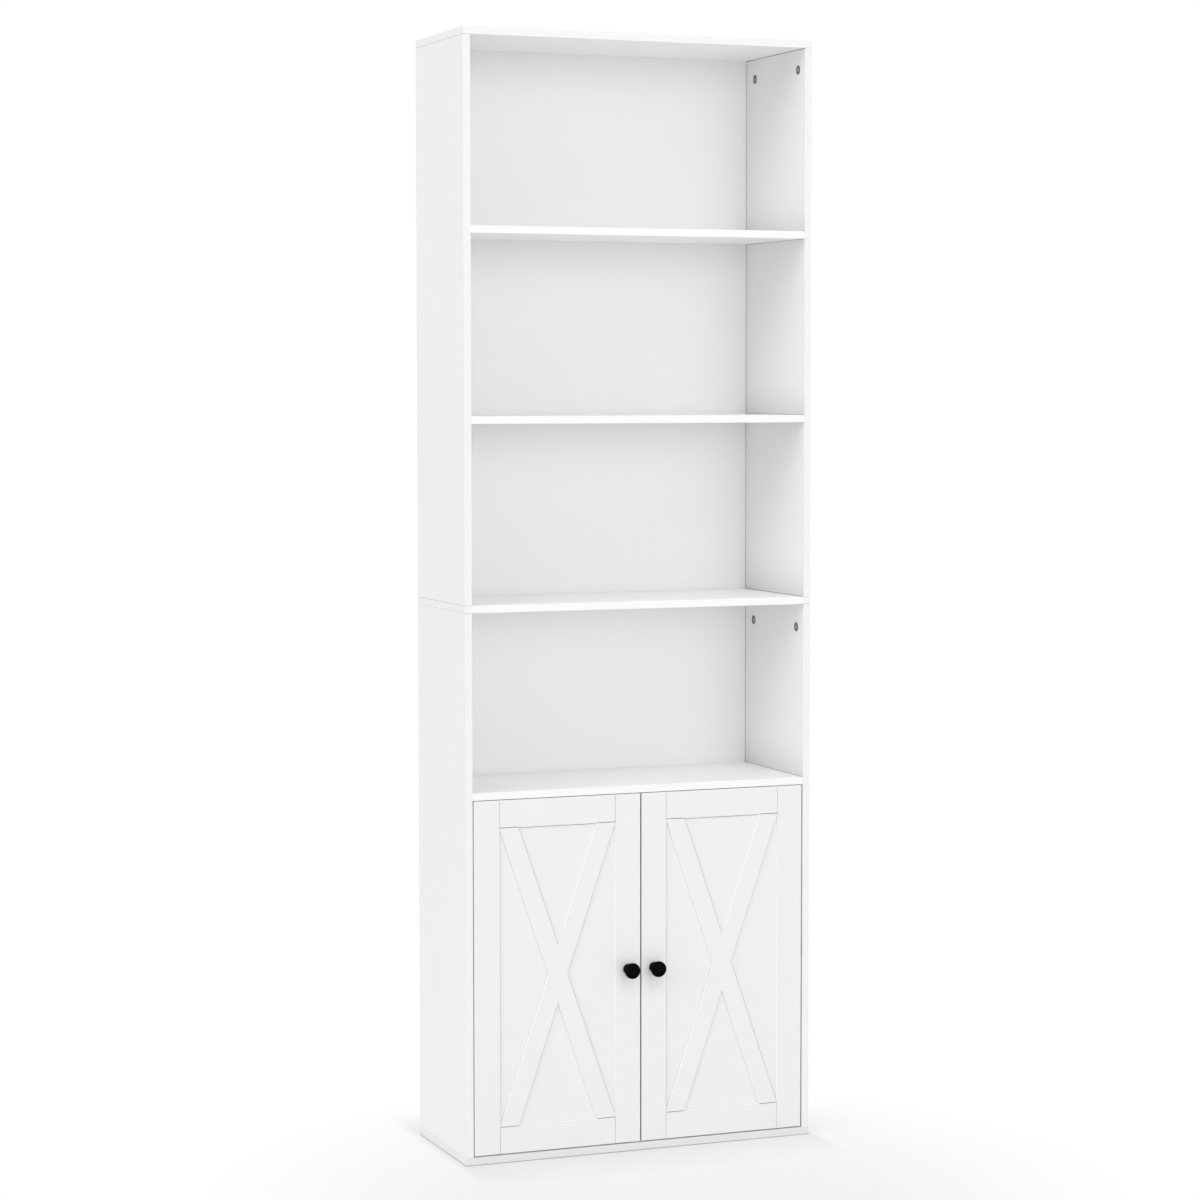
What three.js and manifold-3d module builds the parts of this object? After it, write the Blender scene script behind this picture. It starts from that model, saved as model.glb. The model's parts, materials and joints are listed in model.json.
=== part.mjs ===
// Tall white bookcase in two stacked units: three open tiers above, one open tier and a cabinet below.
// Millimetres. X runs to the right, Y to the back and Z up. The origin is on the floor under the centre.
import * as THREE from 'three';
import { ConvexGeometry } from 'three/addons/geometries/ConvexGeometry.js';
import { mergeVertices } from 'three/addons/utils/BufferGeometryUtils.js';
import Module from 'manifold-3d';

// Carcass
const width = 600;
const height = 1800;
const boardDepth = 232;
const board = 12;
const backThickness = 3;
const innerShelfSetback = 30;
// Each level's upper face as a share of the height
const levelShares = {
  highShelf: 0.8289, lowShelf: 0.6628, middle: 0.4972, cabinetTop: 0.3317, innerShelf: 0.1661,
};

// Doors
const doorThickness = 15;
const doorSideGap = 2;
const doorCentreGap = 2;
const doorEndGap = 2;
const doorArris = 0.8;
const frameWidth = 43.5;
const braceWidth = 30;
const fieldDepth = 2.5;
const fieldSlope = 0.6;
const grooveHalfWidth = 0.7;
const grooveDepth = 2;

// Knobs
const knobRadius = 13;
const knobProjection = 25;
const knobStudRadius = 2;
const knobStudLength = 9;
// Radius as a share of the knob's radius, height as a share of its projection, from the base to the face
const knobOutlineShares = [
  [0.67, 0], [0.67, 0.09], [0.6, 0.14], [0.42, 0.24], [0.42, 0.46], [0.66, 0.58], [0.92, 0.64], [1, 0.74],
  [1, 0.88], [0.96, 0.95], [0.86, 0.99], [0, 1],
];

// Concealed hinges, measured from the pivot in each cup
const hingeInset = 15;
const hingeFromEnd = 100;
const cupRadius = 17.5;
const cupWall = 1;
const cupOffset = 7.5;
const cupFlangeWidth = 1.5;
const cupFlangeThickness = 1;
const wingOffset = 6;
const wingHalfWidth = 8;
const wingHalfHeight = 30;
const wingScrewReach = 24;
const hingePinRadius = 1.25;
const knuckleWall = 1.25;
const armWidth = 14;
const armThickness = 2.5;
const armHeight = 9;
const armLength = 60;
const plateThickness = 2;
const plateStart = 30;
const plateLength = 26;
const plateHalfHeight = 24;
const plateScrewReach = 16;
const hingeScrewRadius = 2.2;
const adjusterRadius = 3.2;
const adjusterHeight = 0.8;
const adjusterStart = 26;
const adjusterPitch = 22;

// Cam locks and their bolts
const topCamDrop = 33;
const middleCamDrop = 39.5;
const camFrontInset = 28;
const camBackInset = 33;
const camRadius = 7.5;
const camFloor = 2;
const camFace = 2.2;
const camCrossWidth = 1.2;
const camCrossReach = 3.4;
const camCrossDepth = 1;
const boltHeadRadius = 3.2;
const boltHeadHalfHeight = 1.3;
const boltNeckRadius = 1.9;
const boltShankRadius = 3;
const boltCollarRadius = 3.9;
const boltCollarHeight = 1.2;
const boltThreadRadius = 2.8;
const boltTipHeight = 1.5;
const topBoltThread = 9;
const middleBoltThread = 20;

// Screws, dowels and shelf pins
const screwInset = 36;
const screwHeadRadius = 4;
const screwHeadHeight = 3;
const screwRecess = 0.5;
const screwSocketRadius = 1.9;
const screwSocketDepth = 2;
const screwRadius = 2.6;
const screwLength = 38;
const dowelRadius = 3;
const dowelLength = 30;
const dowelSideDepth = 8;
const dowelChamfer = 0.6;
const dowelInset = 42;
const pinInset = 46;
const pegRadius = 2.4;
const pegLength = 8;
const spoonLength = 12;
const spoonThickness = 1.5;
const spoonHalfWidth = 4.5;
const spoonDrop = 8;
const pinHolePitch = 32;
const pinHolesEachWay = 2;

// Clearances, facets and the overrun of a cut
const clearance = 0.3;
const slack = 0.9;
const runningClearance = 0.1;
const swingClearance = 0.5;
const overrun = 2;
const weld = 0.0001;
const knobSides = 32;
const cupSides = 28;
const camSides = 24;
const rodSides = 12;
const hexSides = 6;

// Levels and planes that follow from the sizes
const halfWidth = width / 2;
const innerHalfWidth = halfWidth - board;
const front = -(boardDepth + backThickness) / 2;
const boardBack = front + boardDepth;
const highShelfTop = height * levelShares.highShelf;
const lowShelfTop = height * levelShares.lowShelf;
const middleTop = height * levelShares.middle;
const cabinetTopTop = height * levelShares.cabinetTop;
const innerShelfTop = height * levelShares.innerShelf;
const middleBottom = middleTop - board;
const topBottom = height - board;
const cabinetTopBottom = cabinetTopTop - board;
const innerShelfBottom = innerShelfTop - board;
const camDepth = board - camFloor;
const camYs = { front: front + camFrontInset, back: boardBack - camBackInset };
const screwYs = { front: front + screwInset, back: boardBack - screwInset };
const dowelYs = { front: front + dowelInset, back: boardBack - dowelInset };
const pinYs = { front: front + pinInset, back: boardBack - pinInset };
const doorWidth = innerHalfWidth - doorSideGap - doorCentreGap / 2;
const doorHeight = cabinetTopBottom - board - 2 * doorEndGap;
const doorMiddle = board + doorEndGap + doorHeight / 2;
const pivotX = innerHalfWidth - doorSideGap - hingeInset;
const pivotY = front + doorThickness / 2;
const hingeRise = doorHeight / 2 - hingeFromEnd;
const knobX = doorWidth - hingeInset - frameWidth / 2;
const knuckleRadius = hingePinRadius + runningClearance + knuckleWall;
const cupDepth = doorThickness / 2 + knuckleRadius + swingClearance + cupWall;
const peg = innerShelfBottom - spoonThickness - pegRadius;
const dowelBoreRadius = dowelRadius + clearance;
const screwHeadTop = screwRecess + screwHeadHeight;

const wasm = await Module();
wasm.setup();

// A closed three.js geometry as a solid that can be cut and joined
function solid(geometry) {
  const bare = geometry.clone();
  bare.deleteAttribute('normal');
  bare.deleteAttribute('uv');
  const merged = mergeVertices(bare, weld);
  const corners = merged.index.array;
  const triVerts = [];
  for (let i = 0; i < corners.length; i += 3) {
    const [a, b, c] = [corners[i], corners[i + 1], corners[i + 2]];
    if (a !== b && b !== c && c !== a) {
      triVerts.push(a, b, c);
    }
  }
  return new wasm.Manifold(new wasm.Mesh({
    numProp: 3,
    vertProperties: new Float32Array(merged.attributes.position.array),
    triVerts: new Uint32Array(triVerts),
  }));
}

function geometryOf(manifold) {
  const mesh = manifold.getMesh();
  const geometry = new THREE.BufferGeometry();
  geometry.setAttribute('position', new THREE.BufferAttribute(new Float32Array(mesh.vertProperties), 3));
  geometry.setIndex(new THREE.BufferAttribute(new Uint32Array(mesh.triVerts), 1));
  geometry.computeVertexNormals();
  return geometry;
}

// A box between two opposite corners
function box(low, high) {
  const size = high.map((value, axis) => value - low[axis]);
  const centre = high.map((value, axis) => (value + low[axis]) / 2);
  return solid(new THREE.BoxGeometry(...size).translate(...centre));
}

// A round bar from one point to another
function rod(radius, start, end, sides = rodSides) {
  const from = new THREE.Vector3(...start);
  const run = new THREE.Vector3(...end).sub(from);
  const geometry = new THREE.CylinderGeometry(radius, radius, run.length(), sides);
  geometry.translate(0, run.length() / 2, 0);
  const turn = new THREE.Quaternion().setFromUnitVectors(new THREE.Vector3(0, 1, 0), run.clone().normalize());
  geometry.applyQuaternion(turn);
  geometry.translate(...start);
  return solid(geometry);
}

// A profile of [radius, height] points turned about the Z axis
function turned(outline, sides = rodSides) {
  const profile = outline.map(([radius, level]) => new THREE.Vector2(radius, level));
  return solid(new THREE.LatheGeometry(profile, sides).rotateX(Math.PI / 2));
}

function joined(solids) {
  return solids.reduce((whole, next) => whole.add(next));
}

function cut(body, tools) {
  return tools.reduce((whole, tool) => whole.subtract(tool), body);
}

const melamine = new THREE.MeshStandardMaterial({ color: 0xf3f3f1, roughness: 0.45, metalness: 0 });
const backing = new THREE.MeshStandardMaterial({ color: 0xf0f0ee, roughness: 0.5, metalness: 0 });
const doorFoil = new THREE.MeshStandardMaterial({ color: 0xf4f4f2, roughness: 0.4, metalness: 0 });
const blackLacquer = new THREE.MeshStandardMaterial({ color: 0x141414, roughness: 0.45, metalness: 0.1 });
const zinc = new THREE.MeshStandardMaterial({ color: 0xa5a7a8, roughness: 0.4, metalness: 0.9 });
const nickel = new THREE.MeshStandardMaterial({ color: 0xc2c3c4, roughness: 0.3, metalness: 1 });
const beech = new THREE.MeshStandardMaterial({ color: 0xc9a26d, roughness: 0.7, metalness: 0 });

function piece(name, shape, material, place = [0, 0, 0], turn = [0, 0, 0]) {
  const geometry = shape instanceof THREE.BufferGeometry ? shape : geometryOf(shape);
  const mesh = new THREE.Mesh(geometry, material.clone());
  mesh.name = name;
  mesh.position.set(...place);
  mesh.rotation.set(...turn);
  return mesh;
}

const bookcase = new THREE.Group();
const sides = { left: -1, right: 1 };

// Bores that more than one board shares
function sideBore(side, y, z, radius, depth) {
  const face = side * innerHalfWidth;
  return rod(radius, [face - side * overrun, y, z], [face + side * depth, y, z]);
}

function endBore(x, y, lowZ, highZ, radius) {
  return rod(radius, [x, y, lowZ], [x, y, highZ]);
}

const jointX = halfWidth - board / 2;

// A cam's pocket in the inner face and the bolt's bore down to it from the board's top end
function camSeat(side, y, boardTop, drop) {
  const face = side * innerHalfWidth;
  const z = boardTop - drop;
  const mouth = [face - side * overrun, y, z];
  const floor = [face + side * camDepth, y, z];
  const bore = endBore(side * jointX, y, z, boardTop + overrun, boltCollarRadius + clearance);
  return [rod(camRadius + clearance, mouth, floor, camSides), bore];
}

// Side panels
for (const [label, side] of Object.entries(sides)) {
  const outer = side * halfWidth;
  const inner = side * innerHalfWidth;
  const [lowX, highX] = [Math.min(outer, inner), Math.max(outer, inner)];
  const upper = [];
  const lower = [];
  for (const end of Object.keys(camYs)) {
    upper.push(...camSeat(side, camYs[end], topBottom, topCamDrop));
    lower.push(...camSeat(side, camYs[end], middleBottom, middleCamDrop));
    upper.push(endBore(side * jointX, camYs[end], middleTop - overrun,
      middleTop + middleBoltThread + clearance, boltThreadRadius + clearance));
    for (const top of [highShelfTop, lowShelfTop]) {
      upper.push(sideBore(side, dowelYs[end], top - board / 2, dowelBoreRadius, dowelSideDepth));
    }
    lower.push(sideBore(side, dowelYs[end], cabinetTopTop - board / 2, dowelBoreRadius, dowelSideDepth));
    for (let step = -pinHolesEachWay; step <= pinHolesEachWay; step += 1) {
      const z = peg + step * pinHolePitch;
      lower.push(sideBore(side, pinYs[end], z, pegRadius + clearance, pegLength + clearance));
    }
    lower.push(endBore(side * jointX, screwYs[end], board - overrun,
      screwRecess + screwLength + clearance, screwRadius + clearance));
  }
  const upperBoard = box([lowX, front, middleTop], [highX, boardBack, topBottom]);
  const lowerBoard = box([lowX, front, board], [highX, boardBack, middleBottom]);
  bookcase.add(piece(`upper_side_${label}`, cut(upperBoard, upper), melamine));
  bookcase.add(piece(`lower_side_${label}`, cut(lowerBoard, lower), melamine));
}

// Top, middle and bottom panels
const topBores = [];
const middleBores = [];
const bottomBores = [];
for (const side of Object.values(sides)) {
  for (const end of Object.keys(camYs)) {
    topBores.push(endBore(side * jointX, camYs[end], topBottom - overrun,
      topBottom + topBoltThread + clearance, boltThreadRadius + clearance));
    middleBores.push(endBore(side * jointX, camYs[end], middleBottom - overrun,
      middleTop + overrun, boltThreadRadius + clearance));
    bottomBores.push(endBore(side * jointX, screwYs[end], -overrun, board + overrun,
      screwRadius + clearance));
    bottomBores.push(endBore(side * jointX, screwYs[end], -overrun, screwHeadTop,
      screwHeadRadius + clearance));
  }
}
const topPanel = box([-halfWidth, front, topBottom], [halfWidth, boardBack, height]);
const middlePanel = box([-halfWidth, front, middleBottom], [halfWidth, boardBack, middleTop]);
const bottomPanel = box([-halfWidth, front, 0], [halfWidth, boardBack, board]);
bookcase.add(piece('top_panel', cut(topPanel, topBores), melamine));
bookcase.add(piece('middle_panel', cut(middlePanel, middleBores), melamine));
bookcase.add(piece('bottom_panel', cut(bottomPanel, bottomBores), melamine));

// Fixed shelves, dowelled into the sides
const fixedShelves = {
  upper_shelf_high: highShelfTop, upper_shelf_low: lowShelfTop, cabinet_top: cabinetTopTop,
};
for (const [name, top] of Object.entries(fixedShelves)) {
  const bores = [];
  for (const side of Object.values(sides)) {
    for (const y of Object.values(dowelYs)) {
      const reach = innerHalfWidth - (dowelLength - dowelSideDepth) - clearance;
      bores.push(rod(dowelBoreRadius, [side * reach, y, top - board / 2],
        [side * (innerHalfWidth + overrun), y, top - board / 2]));
    }
  }
  const shelf = box([-innerHalfWidth, front, top - board], [innerHalfWidth, boardBack, top]);
  bookcase.add(piece(name, cut(shelf, bores), melamine));
}

// Inner shelf, set back behind the doors, and the back panel
const innerShelf = box(
  [-innerHalfWidth + clearance, front + innerShelfSetback, innerShelfBottom],
  [innerHalfWidth - clearance, boardBack - clearance, innerShelfTop],
);
const backPanel = box([-halfWidth, boardBack, 0], [halfWidth, boardBack + backThickness, height]);
bookcase.add(piece('cabinet_shelf', innerShelf, melamine));
bookcase.add(piece('back_panel', backPanel, backing));

// Cam lock: a disc whose slot lets the bolt's neck in and whose chamber holds its head
const chamberRadius = boltHeadRadius + slack;
const camCross = [
  box([-camCrossDepth, -camCrossWidth / 2, -camCrossReach], [overrun, camCrossWidth / 2, camCrossReach]),
  box([-camCrossDepth, -camCrossReach, -camCrossWidth / 2], [overrun, camCrossReach, camCrossWidth / 2]),
];
const slotHalfWidth = boltNeckRadius + clearance;
const cam = geometryOf(cut(rod(camRadius, [-camDepth, 0, 0], [0, 0, 0], camSides), [
  rod(chamberRadius, [-camDepth - overrun, 0, 0], [-camFace, 0, 0]),
  box([-camDepth - overrun, -slotHalfWidth, 0],
    [slotHalfWidth - board / 2, slotHalfWidth, camRadius + overrun]),
  ...camCross,
]));

// Cam bolt, from its head in the cam up through its collar to its thread
function bolt(drop, threadEnd) {
  const shankStart = camRadius + slack;
  return geometryOf(turned([
    [0, -boltHeadHalfHeight], [boltHeadRadius, -boltHeadHalfHeight], [boltHeadRadius, boltHeadHalfHeight],
    [boltNeckRadius, boltHeadHalfHeight], [boltNeckRadius, shankStart], [boltShankRadius, shankStart],
    [boltShankRadius, drop - boltCollarHeight], [boltCollarRadius, drop - boltCollarHeight],
    [boltCollarRadius, drop], [boltThreadRadius, drop],
    [boltThreadRadius, drop + threadEnd - boltTipHeight], [boltNeckRadius, drop + threadEnd],
    [0, drop + threadEnd],
  ]));
}

// Screw through the bottom panel, with a hexagonal socket in its head
const screwTop = screwRecess + screwLength;
const screwBody = turned([
  [0, screwRecess], [screwHeadRadius, screwRecess], [screwHeadRadius, screwHeadTop],
  [screwRadius, screwHeadTop], [screwRadius, screwTop - screwRadius], [0, screwTop],
]);
const socketTop = screwRecess + screwSocketDepth;
const socket = rod(screwSocketRadius, [0, 0, screwRecess - overrun], [0, 0, socketTop], hexSides);
const screw = geometryOf(cut(screwBody, [socket]));

// Dowel, from its end in the side panel
const dowel = geometryOf(turned([
  [0, 0], [dowelRadius - dowelChamfer, 0], [dowelRadius, dowelChamfer],
  [dowelRadius, dowelLength - dowelChamfer], [dowelRadius - dowelChamfer, dowelLength], [0, dowelLength],
])).rotateY(Math.PI / 2);

// Shelf pin: a peg in the side, a web down the side's face and a tongue under the shelf
const pinTop = spoonThickness + pegRadius;
const shelfPin = geometryOf(joined([
  rod(pegRadius, [-pegLength, 0, 0], [spoonThickness, 0, 0]),
  box([0, -spoonHalfWidth, pinTop - spoonDrop], [spoonThickness, spoonHalfWidth, pinTop]),
  box([0, -spoonHalfWidth, pegRadius], [spoonLength, spoonHalfWidth, pinTop]),
]));

const topBolt = bolt(topCamDrop, topBoltThread);
const middleBolt = bolt(middleCamDrop, board + middleBoltThread);
for (const [label, side] of Object.entries(sides)) {
  const halfTurn = side > 0 ? [0, 0, Math.PI] : [0, 0, 0];
  const face = side * innerHalfWidth;
  const joint = side * jointX;
  const dowelEnd = side * (innerHalfWidth + dowelSideDepth);
  for (const end of Object.keys(camYs)) {
    const where = `${label}_${end}`;
    const topCam = topBottom - topCamDrop;
    const middleCam = middleBottom - middleCamDrop;
    bookcase.add(piece(`top_cam_${where}`, cam, zinc, [face, camYs[end], topCam], halfTurn));
    bookcase.add(piece(`middle_cam_${where}`, cam, zinc, [face, camYs[end], middleCam], halfTurn));
    bookcase.add(piece(`top_bolt_${where}`, topBolt, zinc, [joint, camYs[end], topCam]));
    bookcase.add(piece(`middle_bolt_${where}`, middleBolt, zinc, [joint, camYs[end], middleCam]));
    bookcase.add(piece(`bottom_screw_${where}`, screw, zinc, [joint, screwYs[end], 0]));
    for (const [name, top] of Object.entries(fixedShelves)) {
      const place = [dowelEnd, dowelYs[end], top - board / 2];
      bookcase.add(piece(`${name}_dowel_${where}`, dowel, beech, place, halfTurn));
    }
    bookcase.add(piece(`shelf_pin_${where}`, shelfPin, nickel, [face, pinYs[end], peg], halfTurn));
  }
}

// Hinge cup, in the door's frame: the pivot is the origin, +X runs into the door and +Y to the back
const doorBack = doorThickness / 2;
const doorFront = -doorThickness / 2;
const cupFloor = doorBack - cupDepth;
const flangeTop = doorBack + cupFlangeThickness;
const flangeRadius = cupRadius + cupFlangeWidth;
const wingX = cupOffset + wingOffset;
const cupInnerRadius = cupRadius - cupWall;
const pinReach = Math.sqrt(cupRadius ** 2 - cupOffset ** 2) - cupWall / 2;
const wingBores = [-wingScrewReach, wingScrewReach].map((z) => (
  rod(hingeScrewRadius, [wingX, doorBack - overrun, z], [wingX, flangeTop + overrun, z])
));
const cupShell = cut(joined([
  rod(cupRadius, [cupOffset, cupFloor, 0], [cupOffset, flangeTop, 0], cupSides),
  rod(flangeRadius, [cupOffset, doorBack, 0], [cupOffset, flangeTop, 0], cupSides),
  box([wingX - wingHalfWidth, doorBack, -wingHalfHeight], [wingX + wingHalfWidth, flangeTop, wingHalfHeight]),
]), [
  rod(cupInnerRadius, [cupOffset, cupFloor + cupWall, 0], [cupOffset, flangeTop + overrun, 0], cupSides),
  ...wingBores,
]);
const hingeCup = geometryOf(cupShell.add(rod(hingePinRadius, [0, 0, -pinReach], [0, 0, pinReach])));

// Hinge arm: a cranked neck round the door's edge strip, then a body and its plate on the side panel
const sweep = Math.hypot(hingeInset, doorThickness / 2);
const neck = sweep + swingClearance;
const neckOuter = neck + armThickness;
const sideFace = -(hingeInset + doorSideGap);
const halfArm = armWidth / 2;
const adjusterX = sideFace + armHeight;
const adjusters = [adjusterStart, adjusterStart + adjusterPitch].map((y) => (
  rod(adjusterRadius, [adjusterX - overrun, y, 0], [adjusterX + adjusterHeight, y, 0])
));
const plateFace = sideFace + plateThickness;
const armBody = joined([
  rod(knuckleRadius, [0, 0, -halfArm], [0, 0, halfArm]),
  box([0, -armThickness / 2, -halfArm], [neckOuter, armThickness / 2, halfArm]),
  box([neck, -armThickness / 2, -halfArm], [neckOuter, neckOuter, halfArm]),
  box([sideFace, neck, -halfArm], [neckOuter, neckOuter, halfArm]),
  box([sideFace, neck, -halfArm], [adjusterX, armLength, halfArm]),
  box([sideFace, plateStart, -plateHalfHeight], [plateFace, plateStart + plateLength, plateHalfHeight]),
  ...adjusters,
]);
const plateScrewY = plateStart + plateLength / 2;
const plateBores = [-plateScrewReach, plateScrewReach].map((z) => (
  rod(hingeScrewRadius, [sideFace - overrun, plateScrewY, z], [plateFace + overrun, plateScrewY, z])
));
const hingeArm = geometryOf(cut(armBody, [
  rod(hingePinRadius + runningClearance, [0, 0, -halfArm - overrun], [0, 0, halfArm + overrun]),
  ...plateBores,
]));

// Door: a slab with a small arris, four sunk fields round a crossed brace, and grooves at the frame's joints
const doorLeft = -hingeInset;
const doorRight = doorWidth - hingeInset;
const doorHalf = doorHeight / 2;
const corners = [[doorLeft, -doorHalf], [doorRight, -doorHalf], [doorRight, doorHalf], [doorLeft, doorHalf]];
const inset = corners.map(([x, z]) => [
  x - Math.sign(x) * doorArris, z - Math.sign(z) * doorArris,
]);
const slabPoints = [
  ...corners.map(([x, z]) => new THREE.Vector3(x, doorBack, z)),
  ...corners.map(([x, z]) => new THREE.Vector3(x, doorFront + doorArris, z)),
  ...inset.map(([x, z]) => new THREE.Vector3(x, doorFront, z)),
];

const fieldCentre = (doorLeft + doorRight) / 2;
const fieldHalfWidth = doorWidth / 2 - frameWidth;
const fieldHalf = doorHalf - frameWidth;
// The brace's width measured along the rail, from its true width and its slant
const slant = (braceWidth / (2 * fieldHalf)) ** 2;
const linear = 4 * fieldHalfWidth * slant;
const constant = braceWidth ** 2 + slant * (2 * fieldHalfWidth) ** 2;
const braceRun = (Math.sqrt(linear ** 2 + 4 * (1 - slant) * constant) - linear) / (2 * (1 - slant));
const crossHalf = (braceRun / 2) * fieldHalf / (fieldHalfWidth - braceRun / 2);

// A three-cornered pocket whose walls slope in to its floor
function pocket(triangle) {
  const [a, b, c] = triangle.map(([x, z]) => new THREE.Vector2(fieldCentre + x, z));
  const opposite = [b.distanceTo(c), c.distanceTo(a), a.distanceTo(b)];
  const around = opposite[0] + opposite[1] + opposite[2];
  const area = Math.abs((b.x - a.x) * (c.y - a.y) - (c.x - a.x) * (b.y - a.y)) / 2;
  const inradius = 2 * area / around;
  const centre = a.clone().multiplyScalar(opposite[0]).addScaledVector(b, opposite[1])
    .addScaledVector(c, opposite[2]).divideScalar(around);
  const shrink = 1 - fieldSlope / inradius;
  const points = [];
  for (const corner of [a, b, c]) {
    const floor = centre.clone().lerp(corner, shrink);
    points.push(new THREE.Vector3(corner.x, doorFront - overrun, corner.y));
    points.push(new THREE.Vector3(corner.x, doorFront, corner.y));
    points.push(new THREE.Vector3(floor.x, doorFront + fieldDepth, floor.y));
  }
  return solid(new ConvexGeometry(points));
}

// A V-groove along X or Z on the door's front
function groove(fromX, toX, fromZ, toZ) {
  const upright = fromX === toX;
  const points = [];
  for (const [x, z] of [[fromX, fromZ], [toX, toZ]]) {
    for (const offset of [-grooveHalfWidth, grooveHalfWidth]) {
      const across = upright ? [x + offset, z] : [x, z + offset];
      points.push(new THREE.Vector3(across[0], doorFront, across[1]));
      points.push(new THREE.Vector3(across[0], doorFront - overrun, across[1]));
    }
    points.push(new THREE.Vector3(x, doorFront + grooveDepth, z));
  }
  return solid(new ConvexGeometry(points));
}

const doorCuts = [
  pocket([[braceRun - fieldHalfWidth, fieldHalf], [fieldHalfWidth - braceRun, fieldHalf], [0, crossHalf]]),
  pocket([[braceRun - fieldHalfWidth, -fieldHalf], [fieldHalfWidth - braceRun, -fieldHalf], [0, -crossHalf]]),
  pocket([[-fieldHalfWidth, fieldHalf], [-fieldHalfWidth, -fieldHalf], [-braceRun / 2, 0]]),
  pocket([[fieldHalfWidth, fieldHalf], [fieldHalfWidth, -fieldHalf], [braceRun / 2, 0]]),
];
for (const across of [-1, 1]) {
  const stileX = fieldCentre + across * fieldHalfWidth;
  const braceX = fieldCentre + across * (fieldHalfWidth - braceRun);
  for (const up of [-1, 1]) {
    doorCuts.push(groove(stileX, stileX, up * fieldHalf, up * (doorHalf + overrun)));
    doorCuts.push(groove(Math.min(stileX, braceX), Math.max(stileX, braceX), up * fieldHalf, up * fieldHalf));
  }
}
for (const z of [-hingeRise, hingeRise]) {
  doorCuts.push(rod(cupRadius + clearance, [cupOffset, cupFloor - clearance, z],
    [cupOffset, doorBack + overrun, z], cupSides));
}
doorCuts.push(rod(knobStudRadius + clearance, [knobX, doorFront - overrun, 0],
  [knobX, doorFront + knobStudLength + clearance, 0]));
const door = geometryOf(cut(solid(new ConvexGeometry(slabPoints)), doorCuts));

// Knob with its stud, turned about Z and then laid out of the door's front
const knob = geometryOf(turned([
  [0, -knobStudLength], [knobStudRadius, -knobStudLength], [knobStudRadius, 0],
  ...knobOutlineShares.map(([radius, level]) => [radius * knobRadius, level * knobProjection]),
], knobSides)).rotateX(Math.PI / 2);

// Doors with their hinges: each group turns about its hinge axis
for (const [label, side] of Object.entries(sides)) {
  const halfTurn = side > 0 ? [0, Math.PI, 0] : [0, 0, 0];
  const leaf = new THREE.Group();
  leaf.position.set(side * pivotX, pivotY, doorMiddle);
  leaf.rotation.set(...halfTurn);
  leaf.add(piece(`door_${label}`, door, doorFoil));
  leaf.add(piece(`knob_${label}`, knob, blackLacquer, [knobX, doorFront, 0]));
  const fixed = new THREE.Group();
  fixed.position.copy(leaf.position);
  fixed.rotation.copy(leaf.rotation);
  for (const [level, rise] of [['low', side * hingeRise], ['high', -side * hingeRise]]) {
    leaf.add(piece(`hinge_cup_${label}_${level}`, hingeCup, nickel, [0, 0, rise]));
    fixed.add(piece(`hinge_arm_${label}_${level}`, hingeArm, nickel, [0, 0, rise]));
  }
  bookcase.add(leaf, fixed);
}

export default bookcase;
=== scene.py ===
"""Looks of a tall white bookcase with a two-door cabinet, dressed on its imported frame.

Metres, in the row frame: X to the right, Y to the back, Z up, the doors facing -Y.
"""

import json
import math

import bmesh
import bpy
from mathutils import Matrix, Vector


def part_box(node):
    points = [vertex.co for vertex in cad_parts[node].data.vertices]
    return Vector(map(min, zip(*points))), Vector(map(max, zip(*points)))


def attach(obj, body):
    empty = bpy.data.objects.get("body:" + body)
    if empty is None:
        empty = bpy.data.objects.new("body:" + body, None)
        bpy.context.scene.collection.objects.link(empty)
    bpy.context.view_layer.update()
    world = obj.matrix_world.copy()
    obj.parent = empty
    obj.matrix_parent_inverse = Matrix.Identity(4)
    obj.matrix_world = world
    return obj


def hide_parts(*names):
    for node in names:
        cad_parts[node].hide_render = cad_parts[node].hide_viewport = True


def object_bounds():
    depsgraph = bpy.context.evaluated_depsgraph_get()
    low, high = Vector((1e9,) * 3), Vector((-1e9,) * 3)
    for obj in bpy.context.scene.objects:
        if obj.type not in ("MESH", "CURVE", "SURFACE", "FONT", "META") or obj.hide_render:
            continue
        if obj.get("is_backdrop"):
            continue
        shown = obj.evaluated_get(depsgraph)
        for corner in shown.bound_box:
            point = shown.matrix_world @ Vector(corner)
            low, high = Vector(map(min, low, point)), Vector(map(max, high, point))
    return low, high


MM = 0.001

# Camera, from the fit of the photograph's edges
CAMERA_PLACE = (-1.92943, -4.84062, 1.24064)
CAMERA_YAW_DEG = 21.478
CAMERA_PITCH_DEG = 3.855
CAMERA_ROLL_DEG = -0.04
FOCAL_PIXELS = 3177.0
FRAME_PIXELS = 1200.0
SENSOR_MM = 36.0

# Light levels. Each soft lamp has a bearing (0 from the front, 90 from the right) and a height in
# degrees, its strength, and how many degrees of the sky it fills.
WORLD_STRENGTH = 0.66
LAMPS = {
    "left": ((-75.0, 20.0), 0.78, 30.0),
    "upper_left": ((-50.0, 40.0), 0.22, 30.0),
    "front_left": ((-8.0, 0.0), 0.53, 30.0),
    "front": ((10.0, 10.0), 0.44, 30.0),
    "upper_front": ((0.0, 50.0), 0.42, 8.0),
    "upper_right": ((40.0, 50.0), 0.1, 30.0),
    "top": ((0.0, 85.0), 0.18, 30.0),
}
LAMP_DISTANCE = 5.0
DIFFUSE_BOUNCES = 10

# Floor
FLOOR_RADIUS = 14.0
FLOOR_SIDES = 96
FLOOR_DROP = 0.6 * MM
FLOOR_WHITE = 0.85
CONTACT_SHADE = 0.6
CONTACT_REACH = 4.0 * MM
NEAR_SHADE = 0.89
NEAR_REACH = 150.0 * MM
NEAR_SIDEWAYS = 8.0
FADE_CENTRE = (-0.07, -0.38, 0.0)
FADE_START = 0.12
FADE_END = 0.78

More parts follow.
